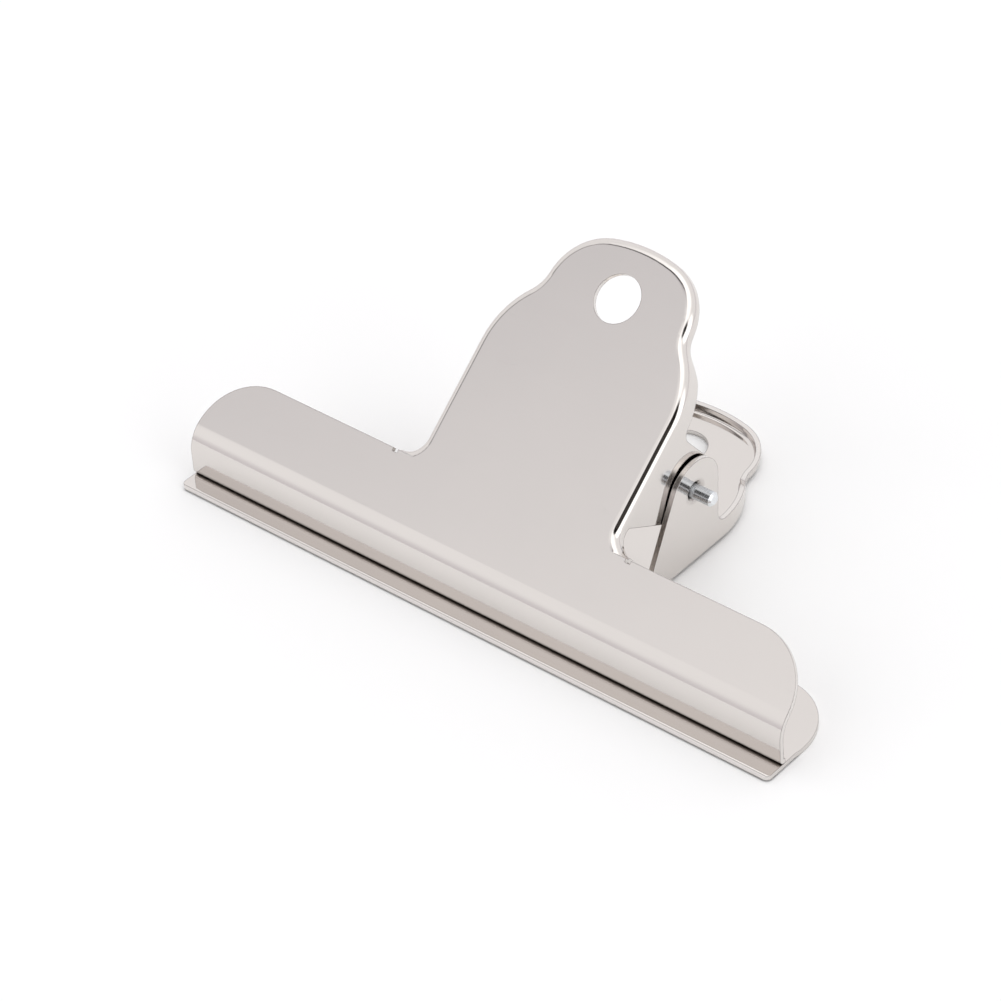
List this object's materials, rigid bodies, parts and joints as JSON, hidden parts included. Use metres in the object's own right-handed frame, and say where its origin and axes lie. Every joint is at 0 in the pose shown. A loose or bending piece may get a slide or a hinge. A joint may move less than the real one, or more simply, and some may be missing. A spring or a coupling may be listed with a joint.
{
  "type": "letter clip",
  "caption": "Wide sprung sheet-metal clip: two nickelled jaw plates on one pin, bell-shaped finger handles with a hanging hole each.",
  "frame": {"origin": "on the flat outer face of the back jaw, directly under the middle of the hinge pin, halfway along the jaw; the clip lies on this face", "axes": "+Z out of the back jaw's outer face towards the front jaw; +X along the jaw; +Y from the jaw's lips towards the handle ends"},
  "size_m": [0.1456, 0.0791, 0.0537],
  "materials": {
    "nickelled_sheet": "bright nickel plate, slightly satin",
    "zinc_pin": "satin zinc plate",
    "spring_wire": "satin"
  },
  "bodies": {
    "back_half": {"back_jaw": "nickelled_sheet", "hinge_pin": "zinc_pin", "torsion_spring": "spring_wire"},
    "front_half": {"front_jaw": "nickelled_sheet"}
  },
  "joints": [
    {"name": "jaw_hinge", "type": "hinge", "parent": "back_half", "child": "front_half", "pos_m": [0, 0, 0.0182], "axis": [-1, 0, 0], "range_deg": [0, 79], "stiffness_Nm_per_rad": 0.65, "springref_deg": -34.38, "deforming": ["torsion_spring"]}
  ]
}
